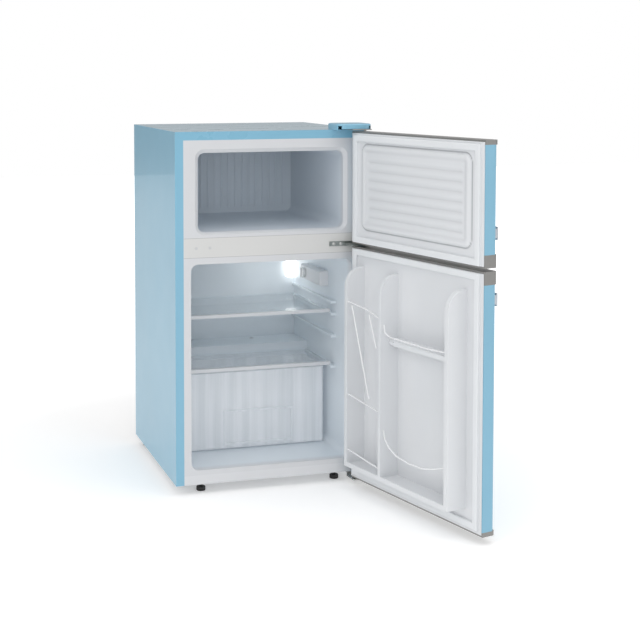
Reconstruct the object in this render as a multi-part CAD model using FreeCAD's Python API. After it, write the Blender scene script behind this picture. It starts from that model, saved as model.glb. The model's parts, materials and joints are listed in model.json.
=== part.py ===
import FreeCAD, Part
import math
import os

os.makedirs("parts", exist_ok=True)
V = FreeCAD.Vector
Z_UP = V(0, 0, 1)

# Top freezer refrigerator, millimetres, +Z up. While it is drawn, y is measured back from the
# plane of the cabinet's front flanges; save() then moves the origin to the middle of the footprint.
WIDTH = 475.0
DEPTH = 460.0
HEIGHT = 858.0
UNDERSIDE = 24.0
SHEET = 0.8
FLANGE = 20.0
LINER = 1.5
HALF = WIDTH / 2
INSIDE = HALF - SHEET

# front openings and cavities
MULLION_LOW = 562.0
MULLION_HIGH = 609.0
SILL_HIGH = 46.0
FZ_HALF_FRONT = 181.0
FZ_HALF_BACK = 174.0
FZ_BACK = 380.0
FR_HALF_FRONT = 200.0
FR_HALF_BACK = 190.0
FR_BACK = 398.0
HUMP_FRONT = 300.0
HUMP_TOP = 285.0
RECESS_FRONT = 336.0
RECESS_TOP = 225.0

# doors, drawn closed and turned open about the hinge pins
PIN_X = 221.0
PIN_Y = -33.0
PIN_R = 3.0
BUSH_R = 5.0
BUSH_BORE_R = 3.08
DOOR_HALF = 238.0
DOOR_BACK = -8.0
DOOR_FRONT = -41.0
CAP_FRONT = -44.0
DOOR_CORNER = 9.0
OPEN_DEG = 103.8
FZ_DOOR_LOW = 587.0
FZ_DOOR_HIGH = 855.0
FR_DOOR_LOW = 18.0
FR_DOOR_HIGH = 580.0
THIN_CAP = 10.0
DEEP_CAP = 28.0
LIP_X = 221.0
GASKET_WIDE = 14.0
GASKET_FRONT = -1.0
GASKET_X = 226.0
PLATE_X = 236.0
PLATE_FRONT = -6.5


def box(x0, x1, y0, y1, z0, z1):
    return Part.makeBox(x1 - x0, y1 - y0, z1 - z0, V(x0, y0, z0))


def rod(p, q, r):
    d = V(*q) - V(*p)
    return Part.makeCylinder(r, d.Length, V(*p), d)


def disc(x, y, z0, z1, r):
    return Part.makeCylinder(r, z1 - z0, V(x, y, z0))


def ring(x, y, z0, z1, r_out, r_in):
    return disc(x, y, z0, z1, r_out).cut(disc(x, y, z0 - 1, z1 + 1, r_in))


def wire_run(points, r):
    # a bent rod: straight lengths with a ball at every bend
    solid = rod(points[0], points[1], r)
    for a, b in zip(points[1:-1], points[2:]):
        solid = solid.fuse(Part.makeSphere(r, V(*a)))
        solid = solid.fuse(rod(a, b, r))
    return solid.removeSplitter()


def join(shapes):
    solid = shapes[0]
    for s in shapes[1:]:
        solid = solid.fuse(s)
    return solid.removeSplitter()


def prism_xz(points, y0, y1):
    pts = [V(x, y0, z) for x, z in points]
    pts.append(pts[0])
    return Part.Face(Part.makePolygon(pts)).extrude(V(0, y1 - y0, 0))


def prism_yz(points, x0, x1):
    pts = [V(x0, y, z) for y, z in points]
    pts.append(pts[0])
    return Part.Face(Part.makePolygon(pts)).extrude(V(x1 - x0, 0, 0))


def round_rect(half, z0, z1, y, r):
    # rounded rectangle in a plane of constant y, starting at its lower left straight
    k = r * (1 - math.sqrt(0.5))
    edges = []
    corners = [(half, z0, 1, 1), (half, z1, 1, -1), (-half, z1, -1, -1), (-half, z0, -1, 1)]
    ends = []
    for i, (cx, cz, sx, sz) in enumerate(corners):
        flat_end = V(cx - sx * r, y, cz)
        side_end = V(cx, y, cz + sz * r)
        mid = V(cx - sx * k, y, cz + sz * k)
        ends.append((flat_end, mid, side_end) if i % 2 == 0 else (side_end, mid, flat_end))
    for i in range(4):
        start = ends[i - 1][2]
        edges.append(Part.makeLine(start, ends[i][0]))
        edges.append(Part.Arc(*ends[i]).toShape())
    return Part.Wire(edges)


def cavity(half_f, half_b, low, high, drop, depth, r, grow):
    # a moulded pocket that narrows a little towards its back
    front = round_rect(half_f + grow, low - grow, high + grow, 0.0, r + grow)
    back = round_rect(half_b + grow, low + drop - grow, high - drop + grow, depth + grow, r + grow)
    return Part.makeLoft([front, back], True, True)


def save(name, shape, open_deg=0.0):
    if open_deg:
        shape = shape.copy()
        shape.rotate(V(PIN_X, PIN_Y, 0), Z_UP, open_deg)
    shape = shape.copy()
    shape.translate(V(0, -DEPTH / 2, 0))
    shape.exportStep("parts/" + name + ".step")


# ---------------------------------------------------------------- cavities
FZ_LOW = 621.0
MOUTH_HALF = 189.0
MOUTH_LOW = 616.0
MOUTH_HIGH = 817.0
MOUTH_DEEP = 8.0
FZ_HIGH = 808.0
FR_LOW = 58.0
FR_HIGH = 547.0
FZ_R = 16.0
FR_R = 18.0
fz_in = cavity(FZ_HALF_FRONT, FZ_HALF_BACK, FZ_LOW, FZ_HIGH, 3.0, FZ_BACK, FZ_R, 0.0)
fz_out = cavity(FZ_HALF_FRONT, FZ_HALF_BACK, FZ_LOW, FZ_HIGH, 3.0, FZ_BACK, FZ_R, LINER)


def mouth(grow):
    # the freezer opening flares to a wider rim over its first few millimetres
    rim = round_rect(MOUTH_HALF + grow, MOUTH_LOW - grow, MOUTH_HIGH + grow, 0.0, FZ_R + 6 + grow)
    neck = round_rect(FZ_HALF_FRONT + grow, FZ_LOW - grow, FZ_HIGH + grow, MOUTH_DEEP + grow, FZ_R + grow)
    return Part.makeLoft([rim, neck], True, True)


fz_in = fz_in.fuse(mouth(0.0)).removeSplitter()
fz_out = fz_out.fuse(mouth(LINER)).removeSplitter()
fr_in = cavity(FR_HALF_FRONT, FR_HALF_BACK, FR_LOW, FR_HIGH, 2.0, FR_BACK, FR_R, 0.0)
fr_out = cavity(FR_HALF_FRONT, FR_HALF_BACK, FR_LOW, FR_HIGH, 2.0, FR_BACK, FR_R, LINER)
hump_in = box(-HALF, HALF, HUMP_FRONT, DEPTH, 0, HUMP_TOP)
hump_out = box(-HALF, HALF, HUMP_FRONT + LINER, DEPTH, 0, HUMP_TOP - LINER)
fr_in = fr_in.cut(hump_in)
fr_out = fr_out.cut(hump_out)

# ---------------------------------------------------------------- shelves and their ledges
UPPER_Z = 396.0
LOWER_Z = 264.0
GLASS = 4.0
SHELF_HALF = 187.0
LEDGE_HALF = 184.0
LEDGE_TALL = 6.0
SHELF_GAP = 0.3
UPPER_FRONT = 112.0
UPPER_BACK = 392.0
LOWER_FRONT = 108.0
LOWER_BACK = 295.0
LEDGE_TOPS = [LOWER_Z - SHELF_GAP, UPPER_Z - SHELF_GAP, UPPER_Z + 30.0, UPPER_Z - 56.0]

# ---------------------------------------------------------------- outer sheet metal
MITRE_GAP = 0.1


def side_panel(s):
    skin = box(-HALF, -HALF + SHEET, 0, DEPTH, UNDERSIDE, HEIGHT)
    lip = prism_xz([(-HALF, UNDERSIDE), (-HALF + FLANGE, UNDERSIDE),
                    (-HALF + FLANGE, HEIGHT - FLANGE), (-HALF, HEIGHT)], 0, SHEET)
    solid = join([skin, lip])
    if s > 0:
        solid = solid.mirror(V(0, 0, 0), V(1, 0, 0))
    return solid


save("left_side_panel", side_panel(-1))
save("right_side_panel", side_panel(1))
top_skin = box(-INSIDE, INSIDE, 0, DEPTH, HEIGHT - SHEET, HEIGHT)
m = MITRE_GAP
top_lip = prism_xz([(-INSIDE, HEIGHT - SHEET), (-HALF + FLANGE + m, HEIGHT - FLANGE),
                    (HALF - FLANGE - m, HEIGHT - FLANGE), (INSIDE, HEIGHT - SHEET)], 0, SHEET)
top_lip = top_lip.cut(side_panel(-1)).cut(side_panel(1))
save("top_panel", join([top_skin, top_lip]))
save("back_panel", box(-INSIDE, INSIDE, DEPTH - SHEET, DEPTH, RECESS_TOP, HEIGHT - SHEET))

FOOT_X = 169.0
FOOT_Y = 33.0
STEM_R = 4.0
NUT_BORE_R = 4.08
FOOT_HOLE_R = 6.0
POCKET_R = 9.0
POCKET_TOP = 60.0
bottom = box(-INSIDE, INSIDE, LINER, RECESS_FRONT, UNDERSIDE, UNDERSIDE + SHEET)
for s in (-1, 1):
    bottom = bottom.cut(disc(s * FOOT_X, FOOT_Y, 0, 100, FOOT_HOLE_R))
recess = join([box(-INSIDE, INSIDE, RECESS_FRONT, RECESS_FRONT + SHEET, UNDERSIDE, RECESS_TOP),
               box(-INSIDE, INSIDE, RECESS_FRONT, DEPTH - SHEET, RECESS_TOP - SHEET, RECESS_TOP)])
DRAIN_X = 62.0
DRAIN_Y = 375.0
DRAIN_R = 6.0
drain_hole = disc(DRAIN_X, DRAIN_Y, RECESS_TOP - 30, HUMP_TOP + 10, DRAIN_R)
save("bottom_panel", join([bottom, recess]).cut(drain_hole))

# ---------------------------------------------------------------- liners, front trims, foam
FRAME_HALF = HALF - FLANGE
FACE = LINER


def face_plate(z0, z1):
    return box(-FRAME_HALF, FRAME_HALF, 0, FACE, z0, z1)


fz_face = face_plate(MULLION_HIGH, HEIGHT - FLANGE)
fz_liner = join([fz_face, fz_out]).cut(fz_in)
save("freezer_liner", fz_liner)
fr_face = face_plate(SILL_HIGH, MULLION_LOW)
fr_liner = join([fr_face, fr_out])
fr_liner = fr_liner.cut(fr_in)
LEDGE_FRONT = 96.0
for top in LEDGE_TOPS:
    back = HUMP_FRONT if top < HUMP_TOP else FR_BACK
    for s in (-1, 1):
        x0, x1 = sorted((s * LEDGE_HALF, s * HALF))
        ledge = box(x0, x1, LEDGE_FRONT, back, top - LEDGE_TALL, top).common(fr_in)
        fr_liner = fr_liner.fuse(ledge)
fr_liner = fr_liner.removeSplitter().cut(drain_hole)
save("fridge_liner", fr_liner)
save("mullion_cover", box(-FRAME_HALF, FRAME_HALF, 0, FACE, MULLION_LOW, MULLION_HIGH))
save("front_sill", box(-FRAME_HALF, FRAME_HALF, 0, FACE, UNDERSIDE, SILL_HIGH))

PLUG_R = 3.5
PLUG_Z = 585.0
HINGE_SCREW_X = (154.0, 187.0)
plugs = [rod((-x, -1.2, PLUG_Z), (-x, 0, PLUG_Z), PLUG_R) for x in HINGE_SCREW_X]
save("mullion_plugs", Part.makeCompound(plugs))

FREEZER_EVAP = box(-160, 160, 386, 387.5, 635, 790)
FRIDGE_EVAP = box(-150, 150, 404, 405.5, 310, 520)
save("evaporator_plates", Part.makeCompound([FREEZER_EVAP, FRIDGE_EVAP]))

foam = box(-INSIDE, INSIDE, FACE, DEPTH - SHEET, UNDERSIDE + SHEET, HEIGHT - SHEET)
foam = foam.cut(fz_out).cut(fr_out)
foam = foam.cut(box(-HALF, HALF, RECESS_FRONT, DEPTH, 0, RECESS_TOP))
foam = foam.cut(FREEZER_EVAP).cut(FRIDGE_EVAP).cut(drain_hole)
for s in (-1, 1):
    foam = foam.cut(disc(s * FOOT_X, FOOT_Y, UNDERSIDE, POCKET_TOP, POCKET_R))
save("cabinet_foam", foam)
DRAIN_BORE = 4.5
tube_low = RECESS_TOP - 22
drain = ring(DRAIN_X, DRAIN_Y, tube_low, HUMP_TOP, DRAIN_R - 0.05, DRAIN_BORE)
save("drain_tube", drain)

# ---------------------------------------------------------------- glass shelves with front trims
TRIM_DEEP = 10.0
TRIM_TALL = 8.0


def shelf(name, z, y0, y1):
    glass = box(-SHELF_HALF, SHELF_HALF, y0 + 2, y1, z, z + GLASS)
    trim = box(-SHELF_HALF, SHELF_HALF, y0, y0 + TRIM_DEEP, z - 0.2, z - 0.2 + TRIM_TALL)
    save(name + "_glass", glass)
    save(name + "_trim", trim.cut(glass))


shelf("upper_shelf", UPPER_Z, UPPER_FRONT, UPPER_BACK)
shelf("lower_shelf", LOWER_Z, LOWER_FRONT, LOWER_BACK)

# ---------------------------------------------------------------- crisper drawer
CRISP_HALF = 182.0
CRISP_FRONT = 140.0
CRISP_BACK = 292.0
CRISP_LOW = 62.5
CRISP_HIGH = 253.0
CRISP_WALL = 2.5
cup = box(-CRISP_HALF, CRISP_HALF, CRISP_FRONT, CRISP_BACK, CRISP_LOW, CRISP_HIGH)
w = CRISP_WALL
cup = cup.makeFillet(10.0, [e for e in cup.Edges if abs(e.Vertexes[0].Z - e.Vertexes[1].Z) > 10])
inner = box(-CRISP_HALF + w, CRISP_HALF - w, CRISP_FRONT + w, CRISP_BACK - w, CRISP_LOW + w, 400)
inner = inner.makeFillet(8.0, [e for e in inner.Edges if abs(e.Vertexes[0].Z - e.Vertexes[1].Z) > 10])
cup = cup.cut(inner)
GRIP_HALF = 90.0
GRIP_LOW = 72.0
GRIP_HIGH = 158.0
GRIP_X = 8.0
grip = box(GRIP_X - GRIP_HALF, GRIP_X + GRIP_HALF, CRISP_FRONT - 5, CRISP_FRONT, GRIP_LOW, GRIP_HIGH)
grip = grip.cut(box(GRIP_X - GRIP_HALF + 5, GRIP_X + GRIP_HALF - 5, CRISP_FRONT - 6, CRISP_FRONT,
                    GRIP_LOW + 5, GRIP_HIGH - 5))
save("crisper_drawer", join([cup, grip]))

# ---------------------------------------------------------------- thermostat and lamp
STAT_FACE_X = 172.0
STAT_Y0 = 150.0
STAT_Y1 = 296.0
STAT_Z0 = 456.0
STAT_Z1 = 493.0
STAT_WALL = 2.5
KNOB_Y = 262.0
KNOB_Z = 474.5
KNOB_R = 13.0
KNOB_TALL = 8.0
POINTER = 2.5
SWITCH_HALF_Y = 14.0
SWITCH_HALF_Z = 11.0
stat = box(STAT_FACE_X, HALF, STAT_Y0, STAT_Y1, STAT_Z0, STAT_Z1)
stat = stat.makeFillet(5.0, [e for e in stat.Edges if max(v.X for v in e.Vertexes) < STAT_FACE_X + 1])
stat = stat.common(fr_in)
stat = stat.cut(box(STAT_FACE_X + STAT_WALL, HALF, STAT_Y0 + 8, STAT_Y1 - 8, STAT_Z0 + 4, STAT_Z1 - 4))


def knob_rod(x0, x1, r):
    return rod((STAT_FACE_X + x0, KNOB_Y, KNOB_Z), (STAT_FACE_X + x1, KNOB_Y, KNOB_Z), r)


save("thermostat_housing", stat.cut(knob_rod(-5, 5, BUSH_BORE_R)))
switch = box(STAT_FACE_X + 6, STAT_FACE_X + 19, KNOB_Y - SWITCH_HALF_Y, KNOB_Y + SWITCH_HALF_Y,
             KNOB_Z - SWITCH_HALF_Z, KNOB_Z + SWITCH_HALF_Z)
save("thermostat_switch", switch)
grip_bar = box(STAT_FACE_X - KNOB_TALL - 4, STAT_FACE_X - KNOB_TALL + 1, KNOB_Y - POINTER, KNOB_Y + POINTER,
               KNOB_Z - KNOB_R + 1, KNOB_Z + KNOB_R - 1)
save("thermostat_knob", join([knob_rod(-KNOB_TALL, -0.5, KNOB_R), knob_rod(-1, 5.5, PIN_R), grip_bar]))
LAMP_Z0 = 444.0
LAMP_Z1 = 490.0
LAMP_X = 166.0
LAMP_FRONT = 380.0
LAMP_WALL = 2.0
BULB_X = 176.0
BULB_Y = 388.5
lens = box(LAMP_X, HALF, LAMP_FRONT, DEPTH, LAMP_Z0, LAMP_Z1).common(fr_in)
lens_hollow = box(LAMP_X + LAMP_WALL, BULB_X + 10, LAMP_FRONT + LAMP_WALL, FR_BACK - 3,
                  LAMP_Z0 + LAMP_WALL, LAMP_Z1 - LAMP_WALL)
save("lamp_lens", lens.cut(lens_hollow))
save("lamp_bulb", disc(BULB_X, BULB_Y, LAMP_Z0 + 6, LAMP_Z1 - 6, 5.0))

# ---------------------------------------------------------------- hinges on the cabinet
HINGE_T = 2.5
PIN_GRIP = 8.0
HINGE_X0 = 186.0
HINGE_X1 = 234.0
SCREW_TALL = 2.2
SCREW_R = 4.5


def hinge_pin(z0, z1):
    return disc(PIN_X, PIN_Y, z0, z1, PIN_R)


top_face = HEIGHT + HINGE_T
save("top_hinge_bracket", join([box(HINGE_X0, HINGE_X1, -44, 34, HEIGHT, top_face),
                                hinge_pin(FZ_DOOR_HIGH - PIN_GRIP, top_face)]))
tops = [disc(x, 20, top_face, top_face + SCREW_TALL, SCREW_R) for x in (198, 222)]
COVER_Z = HEIGHT + 15.0
COVER_WALL = 3.0
cover = box(150, 238, -42, 44, HEIGHT, COVER_Z)
cover = cover.makeFillet(20.0, [e for e in cover.Edges if abs(e.Vertexes[0].Z - e.Vertexes[1].Z) > 5])
cover = cover.makeFillet(4.0, [e for e in cover.Edges if min(v.Z for v in e.Vertexes) > COVER_Z - 0.1])
inside_x = (150 + COVER_WALL, 238 - COVER_WALL)
hollow = box(*inside_x, -42 + COVER_WALL, 44 - COVER_WALL, HEIGHT - 1, COVER_Z - 5)
bracket_slot = box(*inside_x, -48, 0, HEIGHT - 1, top_face + 0.5)
save("top_hinge_cover", cover.cut(hollow).cut(bracket_slot))

ARM_LOW = 582.2
ARM_HIGH = 584.8
mid_plate = box(143, 204, -HINGE_T, 0, 578, 589)
mid_arm = box(180, 230, -40, 0, ARM_LOW, ARM_HIGH)
save("middle_hinge", join([mid_plate, mid_arm, hinge_pin(FR_DOOR_HIGH - PIN_GRIP, FZ_DOOR_LOW + PIN_GRIP)]))
MID_SCREW_Z = PLUG_Z - 1.5
mids = [rod((x, -HINGE_T - SCREW_TALL, MID_SCREW_Z), (x, -HINGE_T, MID_SCREW_Z), 4.0) for x in (154, 172)]
BOT_LOW = 13.5
BOT_FOLD = 0.5
WEB_T = 2.5
BOT_PLATE = UNDERSIDE - 3
bot_plate = box(190, 236, BOT_FOLD - WEB_T, 60, BOT_PLATE, UNDERSIDE)
bot_web = box(190, 236, BOT_FOLD - WEB_T, BOT_FOLD, BOT_LOW, BOT_PLATE)
bot_arm = box(190, HINGE_X1, -42, BOT_FOLD, BOT_LOW, BOT_LOW + 3)
save("bottom_hinge", join([bot_plate, bot_web, bot_arm, hinge_pin(BOT_LOW, FR_DOOR_LOW + PIN_GRIP)]))
bots = [disc(x, 40, BOT_PLATE - SCREW_TALL, BOT_PLATE, SCREW_R) for x in (200, 226)]
save("hinge_screws", Part.makeCompound(tops + mids + bots))

# ---------------------------------------------------------------- feet
FOOT_R = 11.0
FOOT_TALL = 10.0


def foot(s):
    pad = disc(s * FOOT_X, FOOT_Y, 0, FOOT_TALL, FOOT_R)
    pad = pad.makeChamfer(1.0, [e for e in pad.Edges if len(e.Vertexes) == 1])
    return join([pad, disc(s * FOOT_X, FOOT_Y, FOOT_TALL - 1, 50, STEM_R)])


save("front_foot_left", foot(-1))
save("front_foot_right", foot(1))
nut_z = UNDERSIDE + SHEET
nuts = [ring(s * FOOT_X, FOOT_Y, nut_z, nut_z + 9, POCKET_R - 0.05, NUT_BORE_R) for s in (-1, 1)]
save("foot_nuts", Part.makeCompound(nuts))
REAR_X = 212.0
REAR_Y = 436.0
PAN_T = 1.2
rears = [disc(s * REAR_X, REAR_Y, 0, UNDERSIDE, 10.0) for s in (-1, 1)]
save("rear_feet", Part.makeCompound(rears))
BOLT_XS = (26.0, 114.0)
BOLT_YS = (364.0, 436.0)
pan_flat = box(-INSIDE, INSIDE, RECESS_FRONT + SHEET, DEPTH - SHEET, UNDERSIDE, UNDERSIDE + PAN_T)
pan_lip = box(-INSIDE, INSIDE, DEPTH - SHEET - PAN_T, DEPTH - SHEET, UNDERSIDE, UNDERSIDE + 14)
save("base_pan", join([pan_flat, pan_lip]))

# ---------------------------------------------------------------- compressor and cooling circuit
COMP_X = 70.0
COMP_Y = 400.0
COMP_R = 50.0
PAN_TOP = UNDERSIDE + PAN_T
GROM_TALL = 14.0
COMP_FOOT = PAN_TOP + GROM_TALL
SHELL_LOW = COMP_FOOT + 3
SHELL_HIGH = SHELL_LOW + 78
can = disc(COMP_X, COMP_Y, SHELL_LOW, SHELL_HIGH, COMP_R)
dome = Part.makeSphere(62.0, V(COMP_X, COMP_Y, SHELL_HIGH - 36.6))
dome = dome.common(disc(COMP_X, COMP_Y, SHELL_HIGH - 1, SHELL_HIGH + 40, COMP_R))
seam = disc(COMP_X, COMP_Y, SHELL_LOW + 40, SHELL_LOW + 44, COMP_R + 2.5)
foot_plate = box(COMP_X - 52, COMP_X + 52, COMP_Y - 42, COMP_Y + 42, COMP_FOOT, COMP_FOOT + 3)
for bx in BOLT_XS:
    for by in BOLT_YS:
        foot_plate = foot_plate.cut(disc(bx, by, 0, 90, 4.0))
save("compressor", join([can, dome, seam, foot_plate]))
groms = []
bolts = []
for bx in BOLT_XS:
    for by in BOLT_YS:
        groms.append(ring(bx, by, PAN_TOP, COMP_FOOT, 8.0, 3.5))
        bolts.append(join([disc(bx, by, PAN_TOP, COMP_FOOT + 3, 3.2),
                           disc(bx, by, COMP_FOOT + 3, COMP_FOOT + 6, 6.0)]))
save("compressor_grommets", Part.makeCompound(groms))
save("compressor_bolts", Part.makeCompound(bolts))
relay = box(COMP_X - 88, COMP_X - 55, COMP_Y - 22, COMP_Y + 22, 66, 112)
save("start_relay_box", relay.makeFillet(3.0, relay.Edges))
TRAY_LOW = SHELL_HIGH + 26.5
tray = box(COMP_X - 60, COMP_X + 60, COMP_Y - 52, COMP_Y + 52, TRAY_LOW, TRAY_LOW + 22)
tray = tray.cut(box(COMP_X - 58, COMP_X + 58, COMP_Y - 50, COMP_Y + 50, TRAY_LOW + 2, TRAY_LOW + 40))
save("drip_tray", tray)

LINE_R = 2.5
COND_Y = DEPTH + 9.0
COND_HALF = 200.0
COND_ROWS = 11
COND_LOW = 262.0
COND_PITCH = 52.0
points = []
for i in range(COND_ROWS):
    z = COND_LOW + i * COND_PITCH
    ends = [-COND_HALF, COND_HALF] if i % 2 == 0 else [COND_HALF, -COND_HALF]
    points.append((ends[0], COND_Y, z))
    points.append((ends[1], COND_Y, z))
serpentine = wire_run(points, LINE_R)
COND_TOP = COND_LOW + (COND_ROWS - 1) * COND_PITCH
WIRE_R = 0.8
wires = []
WIRE_COUNT = 17
WIRE_SPAN = 368.0
wire_y = COND_Y + LINE_R + WIRE_R
for i in range(WIRE_COUNT):
    x = WIRE_SPAN * (i / (WIRE_COUNT - 1) - 0.5)
    wires.append(rod((x, wire_y, COND_LOW - 8), (x, wire_y, COND_TOP + 8), WIRE_R))
CLIP_X = 209.0
brackets = []
for s in (-1, 1):
    for z in (COND_LOW + 1.5 * COND_PITCH, COND_TOP - 1.5 * COND_PITCH):
        cx = s * CLIP_X
        clip = box(cx - 8, cx + 8, DEPTH, COND_Y + 3, z - 9, z + 9)
        brackets.append(clip.cut(box(cx - 6, cx + 6, DEPTH + 2, COND_Y + 1, z - 20, z + 20)))
save("condenser", Part.makeCompound([serpentine] + wires + brackets))
DRIER_X = -110.0
DRIER_Y = 432.0
save("filter_drier", rod((DRIER_X, DRIER_Y, 120), (DRIER_X, DRIER_Y, 186), 9.0))
discharge = [(COMP_X + 54, COMP_Y, 96), (COMP_X + 90, COMP_Y, 96), (COMP_X + 90, 430, 150),
             (COMP_X + 90, COND_Y, 205), (COND_HALF, COND_Y, 225), (COND_HALF, COND_Y, 240)]
liquid = [(DRIER_X, DRIER_Y, 190), (DRIER_X, DRIER_Y, 205), (DRIER_X, COND_Y, 220),
          (-COND_HALF, COND_Y, 240), (-COND_HALF, COND_Y, COND_LOW - 4)]
suction = [(COMP_X - 52, COMP_Y + 36, 80), (-40, 436, 80), (-60, 436, 130), (-60, 400, 205), (-60, 400, 223)]
capillary = [(DRIER_X, DRIER_Y, 116), (DRIER_X, DRIER_Y, 90), (-150, 420, 80), (-150, 400, 150),
             (-90, 400, 223)]
CAPILLARY_R = 1.2
lines = [wire_run(run, LINE_R) for run in (discharge, liquid, suction)]
lines.append(wire_run(capillary, CAPILLARY_R))
save("refrigerant_lines", Part.makeCompound(lines))
GLAND_X = -200.0
GLAND_Z = 60.0
GLAND_R = 9.0
CORD_R = 4.0


def gland_rod(y0, y1, r):
    return rod((GLAND_X, y0, GLAND_Z), (GLAND_X, y1, GLAND_Z), r)


gland_plate = box(GLAND_X - 14, GLAND_X + 14, 445, 448, GLAND_Z - 21, GLAND_Z + 14)
save("cord_gland", join([gland_rod(448, 466, GLAND_R), gland_plate]).cut(gland_rod(440, 470, CORD_R)))


# ---------------------------------------------------------------- doors
def door_outline(half, back, front, r, z0, z1):
    k = r * (1 - math.sqrt(0.5))

    def at(x, y):
        return V(x, y, z0)

    left_arc = Part.Arc(at(-half, front + r), at(-half + k, front + k), at(-half + r, front))
    right_arc = Part.Arc(at(half - r, front), at(half - k, front + k), at(half, front + r))
    edges = [Part.makeLine(at(half, back), at(-half, back)),
             Part.makeLine(at(-half, back), at(-half, front + r)),
             left_arc.toShape(), Part.makeLine(at(-half + r, front), at(half - r, front)),
             right_arc.toShape(), Part.makeLine(at(half, front + r), at(half, back))]
    return Part.Face(Part.Wire(edges)).extrude(V(0, 0, z1 - z0))


CAP_WALL = 3.0
CAP_END = 6.0
BOSS_R = 9.0
BUSH_TALL = 9.0


def door_set(prefix, low, high, cap_low, cap_high):
    # pressed skin with return lips, moulded end caps, foam core, magnetic gasket and two bushes
    z0 = low + cap_low
    z1 = high - cap_high
    skin = door_outline(DOOR_HALF, DOOR_BACK, DOOR_FRONT, DOOR_CORNER, z0, z1)
    core = door_outline(DOOR_HALF - SHEET, DOOR_BACK - SHEET, DOOR_FRONT + SHEET, DOOR_CORNER - SHEET,
                        z0, z1)
    opening = box(-LIP_X, LIP_X, DOOR_BACK - SHEET, DOOR_BACK, z0, z1)
    skin = skin.cut(core).cut(opening)
    save(prefix + "_skin", skin, OPEN_DEG)
    foam = core.fuse(opening)
    bosses = []
    ends = (("bottom_cap", low, z0, cap_low, -1), ("top_cap", z1, high, cap_high, 1))
    for name, c0, c1, deep, outward in ends:
        cap = door_outline(DOOR_HALF, DOOR_BACK, CAP_FRONT, DOOR_CORNER, c0, c1)
        if deep > 2 * THIN_CAP:
            p0, p1 = (c0, c1 - CAP_END) if outward > 0 else (c0 + CAP_END, c1)
            pocket = door_outline(DOOR_HALF - CAP_WALL, DOOR_BACK - CAP_WALL, CAP_FRONT + CAP_WALL,
                                  DOOR_CORNER - CAP_WALL, p0, p1)
            pocket = pocket.cut(disc(PIN_X, PIN_Y, p0, p1, BOSS_R))
            cap = cap.cut(pocket)
            foam = foam.fuse(pocket)
        cap = cap.cut(disc(PIN_X, PIN_Y, c0 - 1, c1 + 1, BUSH_R))
        save(prefix + "_" + name, cap, OPEN_DEG)
        b0, b1 = (high - BUSH_TALL, high) if outward > 0 else (low, low + BUSH_TALL)
        bosses.append(ring(PIN_X, PIN_Y, b0, b1, BUSH_R, BUSH_BORE_R))
    save(prefix + "_bushes", Part.makeCompound(bosses), OPEN_DEG)
    save(prefix + "_foam", foam.removeSplitter(), OPEN_DEG)


def gasket(prefix, z0, z1):
    g = GASKET_WIDE
    seal = box(-GASKET_X, GASKET_X, PLATE_FRONT, GASKET_FRONT, z0, z1)
    seal = seal.cut(box(-GASKET_X + g, GASKET_X - g, PLATE_FRONT, GASKET_FRONT, z0 + g, z1 - g))
    save(prefix + "_gasket", seal, OPEN_DEG)


def inner_plate(low, high):
    return box(-PLATE_X, PLATE_X, DOOR_BACK, PLATE_FRONT, low + 4, high - 4)


HANDLE_X0 = -230.0
HANDLE_X1 = -120.0
HANDLE_REACH = 10.0
HANDLE_T = 4.0


def handle(z0, z1):
    reach = DOOR_FRONT - HANDLE_REACH
    bar = box(HANDLE_X0, HANDLE_X1, reach, reach + HANDLE_T, z0, z1)
    posts = [box(HANDLE_X0, HANDLE_X0 + 14, reach + HANDLE_T, DOOR_FRONT + 8, z0 + 4, z1 - 4),
             box(HANDLE_X1 - 12, HANDLE_X1, reach + HANDLE_T, DOOR_FRONT, z0 + 4, z1 - 4)]
    solid = join([bar] + posts)
    return solid.cut(door_outline(DOOR_HALF, DOOR_BACK, DOOR_FRONT, DOOR_CORNER, z0 - 9, z1 + 9))


door_set("freezer_door", FZ_DOOR_LOW, FZ_DOOR_HIGH, DEEP_CAP, THIN_CAP)
gasket("freezer_door", FZ_DOOR_LOW + 4.5, FZ_DOOR_HIGH - 9)
save("freezer_door_handle", handle(644, 672), OPEN_DEG)
PANEL_HALF = 192.0
PANEL_PROUD = 4.0
RIB_R = 4.0
RIB_PITCH = 21.0
RIB_COUNT = 9
RIB_LOW = 643.0
plate = inner_plate(FZ_DOOR_LOW, FZ_DOOR_HIGH)
panel = box(-PANEL_HALF, PANEL_HALF, PLATE_FRONT, PLATE_FRONT + PANEL_PROUD, 628, 824)
pieces = [plate, panel]
for i in range(RIB_COUNT):
    z = RIB_LOW + i * RIB_PITCH
    bar = rod((-150, PLATE_FRONT + PANEL_PROUD, z), (176, PLATE_FRONT + PANEL_PROUD, z), RIB_R)
    pieces.append(bar.common(box(-HALF, HALF, PLATE_FRONT, 0, z - 9, z + 9)))
save("freezer_door_liner", join(pieces), OPEN_DEG)

door_set("fridge_door", FR_DOOR_LOW, FR_DOOR_HIGH, THIN_CAP, DEEP_CAP)
gasket("fridge_door", FR_DOOR_LOW + 12, FR_DOOR_HIGH - 4.5)
save("fridge_door_handle", handle(504, 532), OPEN_DEG)

# moulded inner panel: three upright walls with quarter-round tops, ledges and bin floors
WALL_LOW = 66.0
WALL_TOP = 537.0
WALL_TIP = 45.0
ROUND = 44.0
WALL_SPANS = {"hinge": (183.0, 193.0), "middle": (52.0, 60.0), "free": (-186.0, -174.0)}


def door_wall(x0, x1):
    pts = [(PLATE_FRONT, WALL_LOW), (WALL_TIP, WALL_LOW), (WALL_TIP, WALL_TOP - ROUND)]
    steps = 8
    for i in range(1, steps + 1):
        a = i * math.pi / 2 / steps
        pts.append((WALL_TIP - ROUND * (1 - math.cos(a)), WALL_TOP - ROUND + ROUND * math.sin(a)))
    pts.append((PLATE_FRONT, WALL_TOP))
    return prism_yz(pts, x0, x1)


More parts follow.
